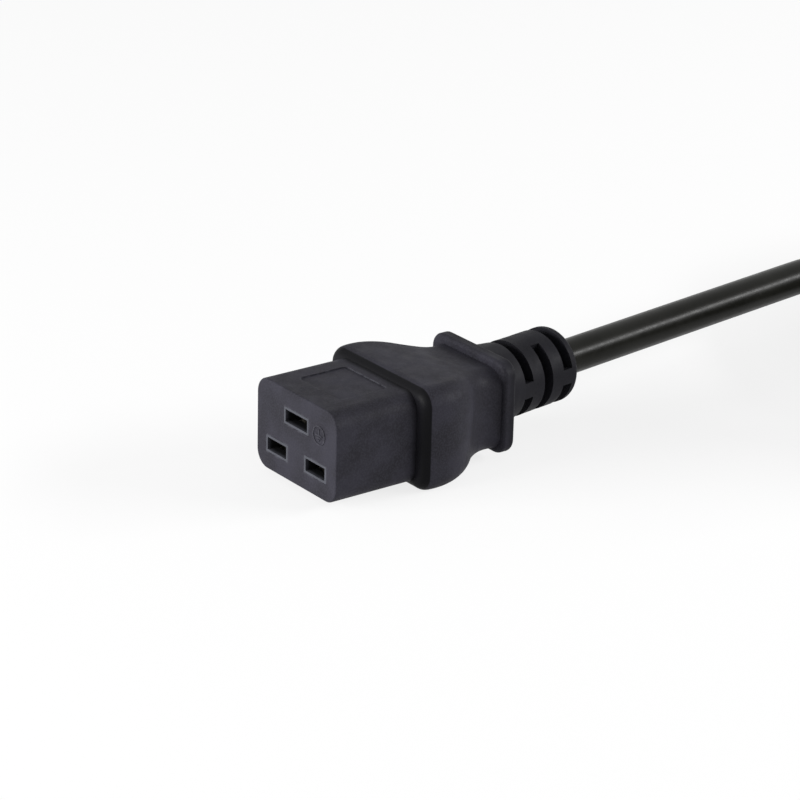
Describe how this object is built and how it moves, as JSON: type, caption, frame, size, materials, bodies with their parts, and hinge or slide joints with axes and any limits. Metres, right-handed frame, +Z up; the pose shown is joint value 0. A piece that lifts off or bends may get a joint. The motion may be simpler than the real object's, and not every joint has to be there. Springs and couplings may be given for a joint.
{
  "type": "c19 power connector",
  "caption": "Straight moulded C19 power connector with slotted strain relief, on a coiled three-core mains lead that ends in a C20 plug.",
  "frame": {"origin": "centre of the mating face, on the connector's axis", "axes": "-Y out of the mating face, +Y towards the cord, +Z up with the earth opening uppermost, +X to the right seen from the front"},
  "size_m": [0.1028, 0.2437, 0.0419],
  "materials": {
    "black_pvc": "matt moulded flexible PVC",
    "black_insert": "fine matt rigid nylon",
    "natural_polypropylene": "smooth natural",
    "sheath_pvc": "satin extruded PVC",
    "tie_pvc": "smooth strap",
    "tinned_brass": "tinned, satin",
    "plated_brass": "nickel plated, polished",
    "bare_copper": "bare stranded copper",
    "insulation_brown": "extruded PVC",
    "insulation_blue": "extruded PVC",
    "insulation_green_yellow": "extruded PVC, striped"
  },
  "bodies": {
    "root": {"coil_tie": "tie_pvc", "contact_carrier": "black_insert", "cord": "sheath_pvc", "cord_coil": "sheath_pvc", "cord_tail": "sheath_pvc", "earth_contact": "tinned_brass", "earth_core": "bare_copper", "earth_insulation": "insulation_green_yellow", "inner_mould": "natural_polypropylene", "line_contact": "tinned_brass", "line_core": "bare_copper", "line_insulation": "insulation_brown", "neutral_contact": "tinned_brass", "neutral_core": "bare_copper", "neutral_insulation": "insulation_blue", "overmould": "black_pvc", "plug_body": "black_pvc", "plug_carrier": "black_insert", "plug_earth_core": "bare_copper", "plug_earth_insulation": "insulation_green_yellow", "plug_earth_pin": "plated_brass", "plug_inner_mould": "natural_polypropylene", "plug_line_core": "bare_copper", "plug_line_insulation": "insulation_brown", "plug_line_pin": "plated_brass", "plug_neutral_core": "bare_copper", "plug_neutral_insulation": "insulation_blue", "plug_neutral_pin": "plated_brass"}
  },
  "joints": []
}
